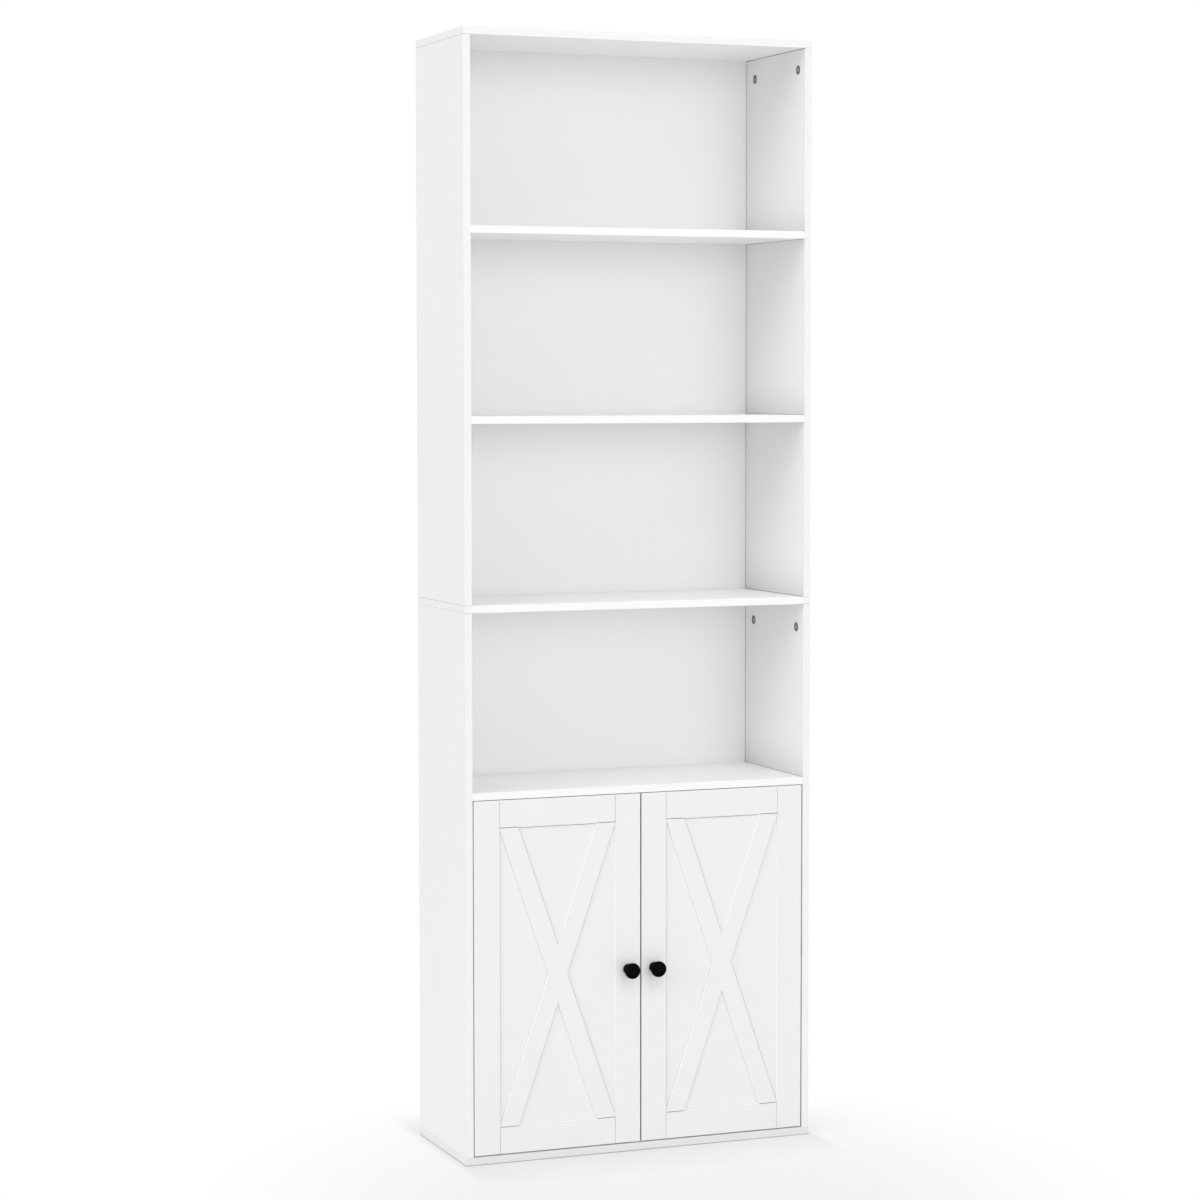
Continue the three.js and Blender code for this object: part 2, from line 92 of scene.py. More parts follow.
# Softened edges of the carried-over nodes
WELD_DISTANCE = 0.001 * MM
FLAT_ANGLE_DEG = 0.5
BOARD_EDGE = 0.45 * MM
DOOR_EDGE = 0.25 * MM
METAL_EDGE = 0.35 * MM
FINE_EDGE = 0.15 * MM
EDGE_ANGLE_DEG = 35.0
DOOR_EDGE_ANGLE_DEG = 20.0
EDGE_SEGMENTS = 2

# The colour sockets of a Mix node, and the middle range of a noise
MIX_FACTOR = 0
MIX_FIRST = 6
MIX_SECOND = 7
MIX_RESULT = 2
NOISE_LOW = 0.3
NOISE_HIGH = 0.7

# Faced boards
FACED_FROM = 0.6
FACED_FULL = 0.9
CORNER_REACH = 75.0 * MM
MEETING_EDGE = 1.15 * MM
BOARD_CLOUDS = {"scale": 7.0, "detail": 3.0}
BOARD_SHEEN = {"scale": 60.0, "detail": 4.0}
SHEEN_BELOW = 0.04
SHEEN_ABOVE = 0.05
BOARD_WAVES = {"scale": 45.0, "detail": 1.0}
BOARD_WAVE_HEIGHT = 0.03 * MM
GRAIN_ROUGHNESS = 0.6
MELAMINE = {"grain_scale": 1500.0, "grain_depth": 0.012 * MM, "roughness": 0.42}

# Metals
METAL_CLOUDS = {"scale": 160.0, "detail": 4.0}
SCRATCHES = {"scale": 420.0, "detail": 5.0, "roughness": 0.65}
SCRATCH_STRETCH = (1.0, 1.0, 14.0)
GLOSS_BELOW = 0.08
GLOSS_ABOVE = 0.1
FACE_AXES = (0.0, 1.0, 1.0)
FACE_CENTRE = (0.0, 0.5, 0.5)
BRIGHT_MIDDLE_RADIUS = 0.16
BRIGHT_MIDDLE_FADE = 0.24

# Lacquer
LACQUER_DARK = 0.0008
LACQUER_LIGHT = 0.0018
LACQUER_CLOUDS = {"scale": 240.0, "detail": 3.0}
LACQUER_GLOSSY = 0.5
LACQUER_DULL = 0.6
LACQUER_IOR = 1.1
PEEL_SCALE = 1100.0
PEEL_HEIGHT = 0.02 * MM

# Beech
BEECH_DARK = (0.42, 0.26, 0.13, 1.0)
BEECH_LIGHT = (0.66, 0.47, 0.28, 1.0)
BEECH_STRETCH = (0.08, 1.0, 1.0)
BEECH_LINES = {"scale": 900.0, "detail": 4.0, "roughness": 0.6}
BEECH_LINE_HEIGHT = 0.05 * MM
BEECH_ROUGHNESS = 0.7

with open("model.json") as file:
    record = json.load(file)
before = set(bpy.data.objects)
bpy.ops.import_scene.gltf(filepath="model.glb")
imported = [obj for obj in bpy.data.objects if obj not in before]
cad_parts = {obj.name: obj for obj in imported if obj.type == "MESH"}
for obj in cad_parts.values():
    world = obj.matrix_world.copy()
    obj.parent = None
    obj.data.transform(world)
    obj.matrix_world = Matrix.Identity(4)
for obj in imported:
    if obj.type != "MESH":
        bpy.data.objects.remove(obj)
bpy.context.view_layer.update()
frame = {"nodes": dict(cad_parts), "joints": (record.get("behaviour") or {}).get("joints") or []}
nodes = frame["nodes"]
pivots = {joint["name"]: Vector(joint["pos_m"]) for joint in frame["joints"]}
SIDES = {"left": -1, "right": 1}
ENDS = ("front", "back")
LEVELS = ("low", "high")

# Places of the boards
INNER_WIDTH = 576.0 * MM
SIDE_MIDDLE = (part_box("upper_side_right")[0].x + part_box("upper_side_right")[1].x) / 2
BACK_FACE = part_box("back_panel")[0].y
TIER_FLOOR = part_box("cabinet_top")[1].z
TIER_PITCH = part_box("middle_panel")[1].z - TIER_FLOOR


# Shader nodes
def add(tree, kind, inputs=None, **settings):
    """A shader node, with its settings and with values or links for its inputs."""
    made = tree.nodes.new(kind)
    for key, value in settings.items():
        setattr(made, key, value)
    for key, value in (inputs or {}).items():
        if isinstance(value, bpy.types.NodeSocket):
            tree.links.new(value, made.inputs[key])
        else:
            made.inputs[key].default_value = value
    return made


def blank(name):
    material = bpy.data.materials.new(name)
    material.use_nodes = True
    material.node_tree.nodes.clear()
    return material, material.node_tree


def grey(level):
    return (level, level, level, 1.0)


def number_math(tree, operation, *values):
    return add(tree, "ShaderNodeMath", dict(enumerate(values)), operation=operation).outputs[0]


def vector_math(tree, operation, *values, result="Vector"):
    """A vector sum, whose result is called Value where it is a length or a distance."""
    made = add(tree, "ShaderNodeVectorMath", dict(enumerate(values)), operation=operation)
    return made.outputs[result]


def noise(tree, place, scale, detail=2.0, roughness=0.5):
    made = add(tree, "ShaderNodeTexNoise", {
        "Vector": place, "Scale": scale, "Detail": detail, "Roughness": roughness,
    })
    return made.outputs["Fac"]


def spread(tree, value, low, high, from_low=NOISE_LOW, from_high=NOISE_HIGH, **settings):
    """The range from from_low to from_high stretched over low to high."""
    made = add(tree, "ShaderNodeMapRange", {
        "Value": value, "From Min": from_low, "From Max": from_high, "To Min": low, "To Max": high,
    }, **settings)
    return made.outputs["Result"]


def blend_colours(tree, factor, first, second):
    inputs = {MIX_FACTOR: factor, MIX_FIRST: first, MIX_SECOND: second}
    return add(tree, "ShaderNodeMix", inputs, data_type="RGBA").outputs[MIX_RESULT]


def bump(tree, height, distance, **inputs):
    made = add(tree, "ShaderNodeBump", {"Height": height, "Distance": distance, **inputs})
    return made.outputs["Normal"]


def finish_material(tree, inputs):
    shader = add(tree, "ShaderNodeBsdfPrincipled", inputs)
    add(tree, "ShaderNodeOutputMaterial", {"Surface": shader.outputs["BSDF"]})


def turned_to(tree, direction):
    """1 on the faces that look along the direction, and 0 elsewhere."""
    return spread(tree, direction, 0.0, 1.0, FACED_FROM, FACED_FULL)


def nearness(tree, distance, share):
    """The share where the distance is nothing, falling away to 0 at the reach of a corner's shade."""
    near = spread(tree, distance, 1.0, 0.0, 0.0, CORNER_REACH)
    squared = number_math(tree, "MULTIPLY", near, near)
    return number_math(tree, "MULTIPLY", squared, share)


def height_in_tier(tree, level):
    """How far a level lies above the floor of its tier."""
    above = number_math(tree, "SUBTRACT", level, TIER_FLOOR)
    return number_math(tree, "FLOORED_MODULO", above, TIER_PITCH)


# Materials
def white_board(name, face, face_dim, band, grain_scale, grain_depth, roughness,
                ends=None, under=None, tips=None, painted_gap_shade=None, painted_low_shade=None, band_painted_low_shade=None, painted_rear_shade=None):
    """White faced board: a fine pearl texture, faint clouding, and banding of its own tone.

    The band lies on the front, the ends look sideways, under is the tone of the lower face, given
    lighter than the face as painted light, and tips are the band's last part in front of the side
    panels.
    The painted_gap_shade tone darkens the narrow edges at the object's middle, where the two doors
    come together, as painted shade of their gap. The painted_low_shade and band_painted_low_shade
    tones darken the inner sides and the back towards the floor of each tier, and painted_rear_shade
    darkens a floor
    towards its back: painted shade in the corners.
    """
    material, tree = blank(name)
    place = add(tree, "ShaderNodeTexCoord")
    points = place.outputs["Object"]
    normal = add(tree, "ShaderNodeSeparateXYZ", {"Vector": place.outputs["Normal"]}).outputs
    across = add(tree, "ShaderNodeSeparateXYZ", {"Vector": points}).outputs
    apart = number_math(tree, "ABSOLUTE", across["X"])
    clouds = noise(tree, points, **BOARD_CLOUDS)
    colour = blend_colours(tree, spread(tree, clouds, 0.0, 1.0), face_dim, face)
    # Painted shade: the inner faces of the sides grow darker towards the floor of each tier
    if painted_low_shade is not None:
        inside = number_math(tree, "LESS_THAN", apart, SIDE_MIDDLE)
        low_shade_share = nearness(tree, height_in_tier(tree, across["Z"]), inside)
        colour = blend_colours(tree, low_shade_share, colour, painted_low_shade)
    # Painted shade: the back's front face grows darker towards the floor of each tier
    if band_painted_low_shade is not None:
        low_shade_share = nearness(tree, height_in_tier(tree, across["Z"]), 1.0)
        band = blend_colours(tree, low_shade_share, band, band_painted_low_shade)
    # Painted shade: a floor's upper face grows darker towards its back
    if painted_rear_shade is not None:
        depth = number_math(tree, "SUBTRACT", BACK_FACE, across["Y"])
        rear_shade_share = nearness(tree, depth, turned_to(tree, normal["Z"]))
        colour = blend_colours(tree, rear_shade_share, colour, painted_rear_shade)
    if ends is not None:
        sideways = number_math(tree, "ABSOLUTE", normal["X"])
        colour = blend_colours(tree, turned_to(tree, sideways), colour, ends)
    # Painted light: faces that look down are given the lighter under tone
    if under is not None:
        downward = number_math(tree, "MULTIPLY", normal["Z"], -1.0)
        colour = blend_colours(tree, turned_to(tree, downward), colour, under)
    if tips is not None:
        past = number_math(tree, "GREATER_THAN", apart, INNER_WIDTH / 2)
        band = blend_colours(tree, past, band, tips)
    forward = number_math(tree, "MULTIPLY", normal["Y"], -1.0)
    colour = blend_colours(tree, turned_to(tree, forward), colour, band)
    # Painted shade of the gap between the doors: the narrow edges at the middle are darker
    if painted_gap_shade is not None:
        between = number_math(tree, "LESS_THAN", apart, MEETING_EDGE)
        colour = blend_colours(tree, between, colour, painted_gap_shade)
    sheen = noise(tree, points, **BOARD_SHEEN)
    rough = spread(tree, sheen, roughness - SHEEN_BELOW, roughness + SHEEN_ABOVE)
    waves = noise(tree, points, **BOARD_WAVES)
    grain = noise(tree, points, grain_scale, roughness=GRAIN_ROUGHNESS)
    surface = bump(tree, grain, grain_depth, Normal=bump(tree, waves, BOARD_WAVE_HEIGHT))
    finish_material(tree, {"Base Color": colour, "Roughness": rough, "Normal": surface})
    return material


def metal(name, dark, light, roughness, scratch_depth, bright_middle=None):
    """Plated metal: tarnish in clouds, fine drawn scratches and a mottled sheen.

    The bright_middle tone is that of a disc in the middle of each face, lighter than the rest.
    """
    material, tree = blank(name)
    place = add(tree, "ShaderNodeTexCoord")
    points = place.outputs["Object"]
    clouds = noise(tree, points, **METAL_CLOUDS)
    colour = blend_colours(tree, spread(tree, clouds, 0.0, 1.0), dark, light)
    if bright_middle is not None:
        face = vector_math(tree, "MULTIPLY", place.outputs["Generated"], FACE_AXES)
        out = vector_math(tree, "DISTANCE", face, FACE_CENTRE, result="Value")
        bright = spread(tree, out, 1.0, 0.0, BRIGHT_MIDDLE_RADIUS, BRIGHT_MIDDLE_FADE)
        colour = blend_colours(tree, bright, colour, bright_middle)
    drawn = add(tree, "ShaderNodeMapping", {"Vector": points, "Scale": SCRATCH_STRETCH})
    scratches = noise(tree, drawn.outputs["Vector"], **SCRATCHES)
    rough = spread(tree, scratches, roughness - GLOSS_BELOW, roughness + GLOSS_ABOVE)
    surface = bump(tree, scratches, scratch_depth)
    finish_material(tree, {
        "Base Color": colour, "Roughness": rough, "Metallic": 1.0, "Normal": surface,
    })
    return material


def lacquer(name):
    """Satin black lacquer with a fine orange peel."""
    material, tree = blank(name)
    points = add(tree, "ShaderNodeTexCoord").outputs["Object"]
    clouds = noise(tree, points, **LACQUER_CLOUDS)
    tone = spread(tree, clouds, 0.0, 1.0)
    colour = blend_colours(tree, tone, grey(LACQUER_DARK), grey(LACQUER_LIGHT))
    rough = spread(tree, clouds, LACQUER_GLOSSY, LACQUER_DULL)
    surface = bump(tree, noise(tree, points, PEEL_SCALE), PEEL_HEIGHT)
    finish_material(tree, {
        "Base Color": colour, "Roughness": rough, "IOR": LACQUER_IOR, "Normal": surface,
    })
    return material


def beech(name):
    """Raw turned beech: growth lines along the dowel and short dark flecks."""
    material, tree = blank(name)
    points = add(tree, "ShaderNodeTexCoord").outputs["Object"]
    along = add(tree, "ShaderNodeMapping", {"Vector": points, "Scale": BEECH_STRETCH})
    lines = noise(tree, along.outputs["Vector"], **BEECH_LINES)
    colour = blend_colours(tree, spread(tree, lines, 0.0, 1.0), BEECH_DARK, BEECH_LIGHT)
    surface = bump(tree, lines, BEECH_LINE_HEIGHT)
    finish_material(tree, {"Base Color": colour, "Roughness": BEECH_ROUGHNESS, "Normal": surface})
    return material


# The inner sides carry painted shade, darker towards the floor of each tier.
side_board = white_board(
    "melamine_sides", face=grey(0.825), face_dim=grey(0.812), band=grey(0.745), painted_low_shade=grey(0.645),
    **MELAMINE)
# Shelves: undersides lighter as painted light, and upper faces darker towards the back as painted
# shade.
shelf_board = white_board(
    "melamine_shelves", face=grey(0.875), face_dim=grey(0.862), band=grey(0.795),
    ends=grey(0.815), under=grey(0.92), tips=grey(0.75), painted_rear_shade=grey(0.785), **MELAMINE)
# The top's underside is lighter as painted light.
top_board = white_board(
    "melamine_top", face=grey(0.875), face_dim=grey(0.862), band=grey(0.76),
    ends=grey(0.815), under=grey(0.92), **MELAMINE)
# The bottom panel's front band is darker than the other bands, as painted shade near the floor.
base_board = white_board(
    "melamine_base", face=grey(0.825), face_dim=grey(0.812), band=grey(0.67), ends=grey(0.8),
    **MELAMINE)
# The door's faces that don't look forward, such as the walls of the sunk fields, are lighter than its
# front as painted light. The door's back shares that tone as its own white. The edges where the doors
# come together are darker, as painted shade of their gap.
door_foil = white_board(
    "door_foil_white", face=grey(0.86), face_dim=grey(0.845), band=grey(0.725), painted_gap_shade=grey(0.5),
    grain_scale=900.0, grain_depth=0.008 * MM, roughness=0.38)
# The back's front face carries painted shade, darker towards the floor of each tier.
backing = white_board(
    "backing_white", face=(0.79, 0.775, 0.74, 1.0), face_dim=(0.76, 0.745, 0.71, 1.0),
    band=grey(0.81), band_painted_low_shade=grey(0.765), grain_scale=700.0, grain_depth=0.02 * MM, roughness=0.5)
tape = white_board(
    "tape_white", face=grey(0.86), face_dim=grey(0.82), band=grey(0.86),
    grain_scale=300.0, grain_depth=0.03 * MM, roughness=0.35)
seam_shade = white_board(
    "seam_shade", face=grey(0.3), face_dim=grey(0.26), band=grey(0.3),
    grain_scale=900.0, grain_depth=0.02 * MM, roughness=0.6)
corner_shade = white_board(
    "corner_shade", face=grey(0.2), face_dim=grey(0.16), band=grey(0.2),
    grain_scale=900.0, grain_depth=0.02 * MM, roughness=0.7)
# Dark raw particle board in the joints between boards, also used for the painted shade of those
# joints' gaps and for the painted contact shadow under the bottom panel.
core_and_shade = white_board(
    "raw_core_and_shade", face=(0.05, 0.043, 0.035, 1.0), face_dim=(0.03, 0.026, 0.021, 1.0),
    band=(0.05, 0.043, 0.035, 1.0), grain_scale=900.0, grain_depth=0.05 * MM, roughness=0.8)
zinc = metal(
    "zinc_plate", dark=(0.3, 0.3, 0.31, 1.0), light=(0.46, 0.46, 0.47, 1.0),
    roughness=0.45, scratch_depth=0.02 * MM)
cast_zinc = metal(
    "zinc_cast", dark=(0.14, 0.14, 0.145, 1.0), light=(0.23, 0.23, 0.235, 1.0),
    roughness=0.5, scratch_depth=0.02 * MM, bright_middle=grey(0.55))
nickel = metal(
    "nickel_plate", dark=(0.56, 0.56, 0.55, 1.0), light=(0.7, 0.7, 0.69, 1.0),
    roughness=0.3, scratch_depth=0.008 * MM)
black = lacquer("black_lacquer")
raw_beech = beech("raw_beech")


# Carried-over nodes
def dress(name, material, edge, angle_deg=EDGE_ANGLE_DEG, weighted=False):
    """Gives a CAD node its material and softened edges, with its mesh's places left as they are.

    Weighted normals are for turned parts and bored boards, where hardened ones would tilt.
    """
    node = nodes[name]
    for entry in node.material_slots:
        entry.link = "OBJECT"
        entry.material = material
    weld = node.modifiers.new("weld", "WELD")
    weld.merge_threshold = WELD_DISTANCE
    flat = node.modifiers.new("flat", "DECIMATE")
    flat.decimate_type = "DISSOLVE"
    flat.angle_limit = math.radians(FLAT_ANGLE_DEG)
    soft = node.modifiers.new("soft", "BEVEL")
    soft.width = edge
    soft.segments = EDGE_SEGMENTS
    soft.limit_method = "ANGLE"
    soft.angle_limit = math.radians(angle_deg)
    if weighted:
        for polygon in node.data.polygons:
            polygon.use_smooth = True
        node.modifiers.new("sheen", "WEIGHTED_NORMAL")
    else:
        soft.harden_normals = True


# New pieces
FACING_FRONT = Matrix.Rotation(math.pi / 2, 4, "X")
FACING_BACK = Matrix.Rotation(-math.pi / 2, 4, "X")


def place_piece(name, mesh, material, body, matrix=None, replaces=()):
    """A new piece that rides on a body, has a material slot, and may stand for CAD nodes."""
    piece =bpy.data.objects.new(name, mesh)
    bpy.context.scene.collection.objects.link(piece)
    if matrix is not None:
        piece.matrix_world = matrix
    if not mesh.materials:
        mesh.materials.append(material)
    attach(piece, body)
    if replaces:
        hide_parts(*replaces)
    return piece


def mesh_of(name, made, smooth=False):
    mesh = bpy.data.meshes.new(name)
    bmesh.ops.recalc_face_normals(made, faces=made.faces)
    made.to_mesh(mesh)
    made.free()
    for polygon in mesh.polygons:
        polygon.use_smooth = smooth
    return mesh


def join_rings(made, first, second):
    """Faces between two rings, where a ring may also be one point repeated."""
    for i in range(len(first)):
        j = (i + 1) % len(first)
        corners = (first[i], first[j], second[j], second[i])
        made.faces.new(list(dict.fromkeys(corners)))


def add_solid(made, sections):
    """A closed solid through sections of [x, y, z] points, each joined to the next."""
    rings = [[made.verts.new(point) for point in section] for section in sections]
    for before, after in zip(rings, rings[1:]):
        join_rings(made, before, after)
    made.faces.new(rings[0])
    made.faces.new(rings[-1])


def solid_mesh(name, sections):
    made = bmesh.new()
    add_solid(made, sections)
    return mesh_of(name, made)


def circle(radius, level, sides):
    turns = [2 * math.pi * i / sides for i in range(sides)]
    return [(radius * math.cos(turn), radius * math.sin(turn), level) for turn in turns]


def lathe(outline_mm, sides):
    """A form turned about Z from [radius, height] points, closed where it meets the axis."""
    made = bmesh.new()
    rings = []
    for radius, level in outline_mm:
        if radius > 0:
            rings.append([made.verts.new(point) for point in circle(radius * MM, level * MM, sides)])
        else:
            rings.append([made.verts.new((0, 0, level * MM))] * sides)
    for lower, upper in zip(rings, rings[1:]):
        join_rings(made, lower, upper)
    return made


# Boards, and the fittings that keep their CAD shape
BOARDS = {
    "top_panel": top_board,
    "upper_side_left": side_board,
    "upper_side_right": side_board,
    "middle_panel": shelf_board,
    "lower_side_left": side_board,
    "lower_side_right": side_board,
    "bottom_panel": base_board,
    "upper_shelf_high": shelf_board,
    "upper_shelf_low": shelf_board,
    "cabinet_top": shelf_board,
    "cabinet_shelf": shelf_board,
}
BORED_THROUGH = ("middle_panel",)
for board_name, board_material in BOARDS.items():
    dress(board_name, board_material, BOARD_EDGE, weighted=board_name in BORED_THROUGH)
for side in SIDES:
    dress(f"door_{side}", door_foil, DOOR_EDGE, DOOR_EDGE_ANGLE_DEG)
    for end in ENDS:
        where = f"{side}_{end}"
        for fitting in ("top_bolt", "middle_bolt", "bottom_screw"):
            dress(f"{fitting}_{where}", zinc, FINE_EDGE, weighted=True)
        dress(f"shelf_pin_{where}", nickel, METAL_EDGE, weighted=True)
        for shelf_name in ("upper_shelf_high", "upper_shelf_low", "cabinet_top"):
            dress(f"{shelf_name}_dowel_{where}", raw_beech, FINE_EDGE, weighted=True)
        for fitting in ("top_cam", "middle_cam"):
            dress(f"{fitting}_{where}", cast_zinc, FINE_EDGE, weighted=True)
    for level in LEVELS:
        dress(f"hinge_cup_{side}_{level}", nickel, METAL_EDGE, weighted=True)
        dress(f"hinge_arm_{side}_{level}", nickel, METAL_EDGE, weighted=True)


# Knobs: a base disc, a waist and a mushroom head
KNOB_PROFILE_MM = [
    (0, 0), (8.5, 0), (8.7, 2.2), (7.7, 4.0), (6.6, 5.4), (6.4, 9.5), (8.2, 13.6), (11.8, 15.8),
    (13.0, 18.8), (12.9, 21.8), (11.2, 24.2), (5.0, 24.95), (0, 25),
]
KNOB_ROUND_MM = [0.3, 0.7, 1.0, 0.9, 1.8, 2.0, 1.8, 1.4, 1.2, 1.4, 1.6]
KNOB_SIDES = 64
ROUND_STEPS = 5


def rounded_path(points, radii):
    """A profile whose inner corners are rounded to the given radii."""
    done = [points[0]]
    for before, corner, after, radius in zip(points, points[1:], points[2:], radii):
        a, b, c = (Vector(point) for point in (before, corner, after))
        start = b + (a - b).normalized() * radius
        end = b + (c - b).normalized() * radius
        for i in range(ROUND_STEPS + 1):
            t = i / ROUND_STEPS
            point = start * (1 - t) ** 2 + b * 2 * t * (1 - t) + end * t ** 2
            done.append((point.x, point.y))
    done.append(points[-1])
    return done


knob_outline = rounded_path(KNOB_PROFILE_MM, KNOB_ROUND_MM)
knob_mesh = mesh_of("knob", lathe(knob_outline, KNOB_SIDES), smooth=True)
for side in SIDES:
    low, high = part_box(f"knob_{side}")
    door_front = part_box(f"door_{side}")[0].y
    spot = Matrix.Translation(((low.x + high.x) / 2, door_front, (low.z + high.z) / 2))
    place_piece(f"knob_turned_{side}", knob_mesh, black, f"{side}_door_leaf",
                spot @ FACING_FRONT, [f"knob_{side}"])


# Painted shade in the doors: dark strips round the floors of the sunk fields and in the grooves of the
# frame, where shade falls
FRAME_WIDTH = 43.5 * MM
BRACE_WIDTH = 30.0 * MM
FIELD_DEPTH = 2.5 * MM
SHADE_STRIP_INSET = 1.0 * MM
SHADE_UNDER_RAIL = 0.8 * MM
SHADE_LOWER_BRACE = 0.35 * MM
SHADE_AWAY_SIDE = 0.5 * MM
SHADE_HALF_LIT = 0.3 * MM
SHADE_LIT_SIDE = 0.15 * MM
SHADE_STRIP_PROUD = 0.03 * MM
SHADE_STRIP_THICKNESS = 0.1 * MM
GROOVE_SHADE_DEPTH = 1.35 * MM
GROOVE_SHADE_HALF = 0.2 * MM
GROOVE_END = 0.6 * MM
RAIL_SHADE_DEPTH = 0.35 * MM
RAIL_SHADE_HALF = 0.5 * MM
LOWER_RAIL_SHADE_HALF = 0.4 * MM

# How squarely a painted shade strip faces up, down or sideways before its width changes
FACING_STRAIGHT = 0.9
FACING_MOSTLY = 0.5
FACING_SLIGHTLY = 0.1


def brace_run(half_width, half_height):
    """The brace's width measured along the rail."""
    slant = (BRACE_WIDTH / (2 * half_height)) ** 2
    linear = 4 * half_width * slant
    constant = BRACE_WIDTH ** 2 + slant * (2 * half_width) ** 2
    return (math.sqrt(linear ** 2 + 4 * (1 - slant) * constant) - linear) / (2 * (1 - slant))


def field_triangles(half_width, half_height):
    """The four fields left by the crossed braces, as [x, z] corners about the door's middle."""
    run = brace_run(half_width, half_height)
    cross = (run / 2) * half_height / (half_width - run / 2)
    return [
        [(run - half_width, half_height), (half_width - run, half_height), (0, cross)],
        [(half_width - run, -half_height), (run - half_width, -half_height), (0, -cross)],
        [(-half_width, -half_height), (-half_width, half_height), (-run / 2, 0)],
        [(half_width, half_height), (half_width, -half_height), (run / 2, 0)],
    ]


def moved_in(corners, distance):
    """A triangle whose sides have all moved inwards by the distance."""
    a, b, c = (Vector(corner) for corner in corners)
    opposite = [(b - c).length, (c - a).length, (a - b).length]
    around = sum(opposite)
    area = abs((b - a).cross(c - a)) / 2
    centre = (a * opposite[0] + b * opposite[1] + c * opposite[2]) / around
    keep = 1 - distance * around / (2 * area)
    return [centre + (corner - centre) * keep for corner in (a, b, c)]


def add_shade_strip(made, middle, corners, front):
    """A thin dark strip of painted shade with four [x, z] corners about the door's middle, its face at
    the given Y.
    """
    add_solid(made, [
        [(middle.x + x, y, middle.z + z) for x, z in corners]
        for y in (front, front + SHADE_STRIP_THICKNESS)
    ])


def shade_strip_width(facing, centre):
    """Wider strips of painted shade where the light leaves the base of a field's wall in shade."""
    if facing.y < -FACING_STRAIGHT:
        return SHADE_UNDER_RAIL
    if facing.x > FACING_MOSTLY:
        return SHADE_AWAY_SIDE
    if facing.x < -FACING_MOSTLY and facing.y > FACING_SLIGHTLY and centre.x < -BRACE_WIDTH:
        return SHADE_LOWER_BRACE
    return SHADE_HALF_LIT if facing.y < -FACING_SLIGHTLY else SHADE_LIT_SIDE


def field_shade_mesh(door_low, door_high):
    """The painted shade strips round the fields, and those in the upright grooves over and under them.
    """
    made = bmesh.new()
    middle = (door_low + door_high) / 2
    door_half = (door_high.z - door_low.z) / 2
    half_width = (door_high.x - door_low.x) / 2 - FRAME_WIDTH
    half_height = door_half - FRAME_WIDTH
    for corners in field_triangles(half_width, half_height):
        outer = moved_in(corners, SHADE_STRIP_INSET)
        centre = sum(outer, Vector((0, 0))) / len(outer)
        for i in range(len(outer)):
            j = (i + 1) % len(outer)
            facing =Vector((outer[j].y - outer[i].y, outer[i].x - outer[j].x)).normalized()
            if facing.dot(centre - outer[i]) < 0:
                facing = -facing
            inner = moved_in(corners, SHADE_STRIP_INSET + shade_strip_width(facing, centre))
            strip = [outer[i], outer[j], inner[j], inner[i]]
            add_shade_strip(made, middle, strip, door_low.y + FIELD_DEPTH - SHADE_STRIP_PROUD)
    for across in (-half_width, half_width):
        left, right = across - GROOVE_SHADE_HALF, across + GROOVE_SHADE_HALF
        for up in (-1, 1):
            near, far = up * half_height, up * (door_half - GROOVE_END)
            strip = [(left, near), (right, near), (right, far), (left, far)]
            add_shade_strip(made, middle, strip, door_low.y + GROOVE_SHADE_DEPTH)
    return mesh_of("painted_field_shade", made)


def rail_shade_mesh(door_low, door_high):
    """The darker painted shade strips in the grooves between the rails and the ends of the braces."""
    made = bmesh.new()
    middle = (door_low + door_high) / 2
    half_width = (door_high.x - door_low.x) / 2 - FRAME_WIDTH
    half_height = (door_high.z - door_low.z) / 2 - FRAME_WIDTH
    run = brace_run(half_width, half_height)
    grooves = ((half_height, RAIL_SHADE_HALF), (-half_height, LOWER_RAIL_SHADE_HALF))
    for across in (-1, 1):
        near, far = across * half_width, across * (half_width - run)
        for level, half in grooves:
            low, high = level - half, level + half
            strip = [(near, low), (near, high), (far, high), (far, low)]
            add_shade_strip(made, middle, strip, door_low.y + RAIL_SHADE_DEPTH)
    return mesh_of("painted_rail_shade", made)


for side in SIDES:
    leaf, door_box = f"{side}_door_leaf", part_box(f"door_{side}")
    place_piece(f"painted_field_shade_{side}", field_shade_mesh(*door_box), seam_shade, leaf)
    place_piece(f"painted_rail_shade_{side}", rail_shade_mesh(*door_box), corner_shade, leaf)


# Edge bands along the doors' upper ends
EDGE_BAND = 0.8 * MM
EDGE_BAND_ARRIS = 0.3 * MM
EDGE_BAND_INSET = 0.02 * MM


def edge_band(door_low, door_high):
    """A band with softened arrises lying on a door's upper end."""
    start, end = door_low.y + EDGE_BAND_INSET, door_high.y - EDGE_BAND_INSET
    bottom, top = door_high.z - EDGE_BAND, door_high.z + EDGE_BAND
    section = [
        (start, bottom), (start, top - EDGE_BAND_ARRIS), (start + EDGE_BAND_ARRIS, top),
        (end - EDGE_BAND_ARRIS, top), (end, top - EDGE_BAND_ARRIS), (end, bottom),
    ]
    xs = (door_low.x + EDGE_BAND_INSET, door_high.x - EDGE_BAND_INSET)
    return solid_mesh("edge_band", [[(x, y, z) for y, z in section] for x in xs])


for side in SIDES:
    band_mesh = edge_band(*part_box(f"door_{side}"))
    place_piece(f"edge_band_{side}", band_mesh, door_foil, f"{side}_door_leaf")


# Hairlines of dark raw particle board where a side panel stands on or under another board, which also
# stand for the painted shade in the joint's gap
LINE_HEIGHT = 0.95 * MM
LINE_WAVER = 0.05 * MM
LINE_INSET = 0.03 * MM
LINE_STEPS = 58
LINE_QUICK_TURN = 2.4
LINE_SLOW_TURN = 0.7


